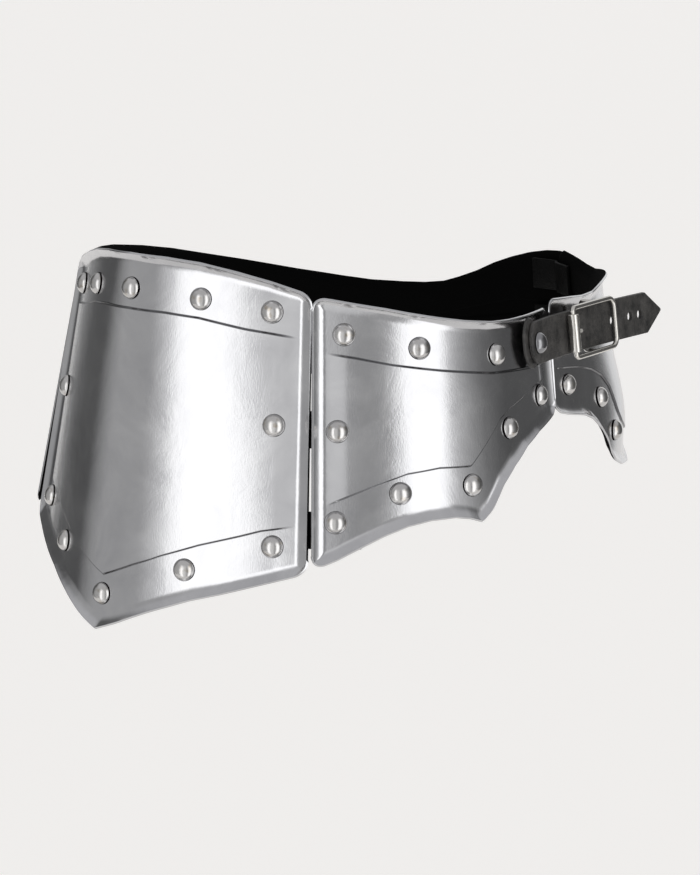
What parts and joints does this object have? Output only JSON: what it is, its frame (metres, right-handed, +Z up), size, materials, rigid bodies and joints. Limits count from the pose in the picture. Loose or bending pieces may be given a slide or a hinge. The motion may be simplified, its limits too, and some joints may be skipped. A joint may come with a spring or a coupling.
{
  "type": "hip armour",
  "caption": "Ring of four flared steel plates with turned edges and dome rivets, joined by leather straps with roller buckles, worn round the hips.",
  "frame": {"origin": "point on the ring's upright centre line, 45 mm above the line of the upper rivets, level with the waist of the wearer", "axes": "+Z up, -Y the way the front plate faces, +X the wearer's left"},
  "size_m": [0.3143, 0.3786, 0.1889],
  "materials": {
    "plate_steel": "polished steel sheet with fine scratches and cloudy wear",
    "rivet_steel": "polished domed rivet heads",
    "leather": "dark grained leather, slightly worn",
    "nickel": "nickel-plated buckle hardware"
  },
  "bodies": {
    "root": {"back_joint_strap_lower": "leather", "back_joint_strap_upper": "leather", "back_plate": "plate_steel", "back_rivet_1": "rivet_steel", "back_rivet_2": "rivet_steel", "back_rivet_3": "rivet_steel", "back_rivet_4": "rivet_steel", "back_rivet_5": "rivet_steel", "back_rivet_6": "rivet_steel", "buckle_frame_left": "nickel", "buckle_prong_left": "nickel", "buckle_roller_left": "nickel", "front_plate": "plate_steel", "front_rivet_1": "rivet_steel", "front_rivet_10": "rivet_steel", "front_rivet_11": "rivet_steel", "front_rivet_12": "rivet_steel", "front_rivet_2": "rivet_steel", "front_rivet_3": "rivet_steel", "front_rivet_4": "rivet_steel", "front_rivet_5": "rivet_steel", "front_rivet_6": "rivet_steel", "front_rivet_7": "rivet_steel", "front_rivet_8": "rivet_steel", "front_rivet_9": "rivet_steel", "joint_strap_left_lower": "leather", "joint_strap_left_middle": "leather", "joint_strap_left_upper": "leather", "joint_strap_right_lower": "leather", "joint_strap_right_middle": "leather", "joint_strap_right_upper": "leather", "side_plate_left": "plate_steel", "side_plate_right": "plate_steel", "side_rivet_left_1": "rivet_steel", "side_rivet_left_2": "rivet_steel", "side_rivet_left_3": "rivet_steel", "side_rivet_left_4": "rivet_steel", "side_rivet_left_5": "rivet_steel", "side_rivet_left_6": "rivet_steel", "side_rivet_left_7": "rivet_steel", "side_rivet_left_8": "rivet_steel", "side_rivet_left_9": "rivet_steel", "side_rivet_right_1": "rivet_steel", "side_rivet_right_10": "rivet_steel", "side_rivet_right_11": "rivet_steel", "side_rivet_right_2": "rivet_steel", "side_rivet_right_3": "rivet_steel", "side_rivet_right_4": "rivet_steel", "side_rivet_right_5": "rivet_steel", "side_rivet_right_6": "rivet_steel", "side_rivet_right_7": "rivet_steel", "side_rivet_right_8": "rivet_steel", "side_rivet_right_9": "rivet_steel", "strap_left": "leather", "strap_patch_left": "leather", "strap_rivet_left": "rivet_steel"}
  },
  "joints": []
}
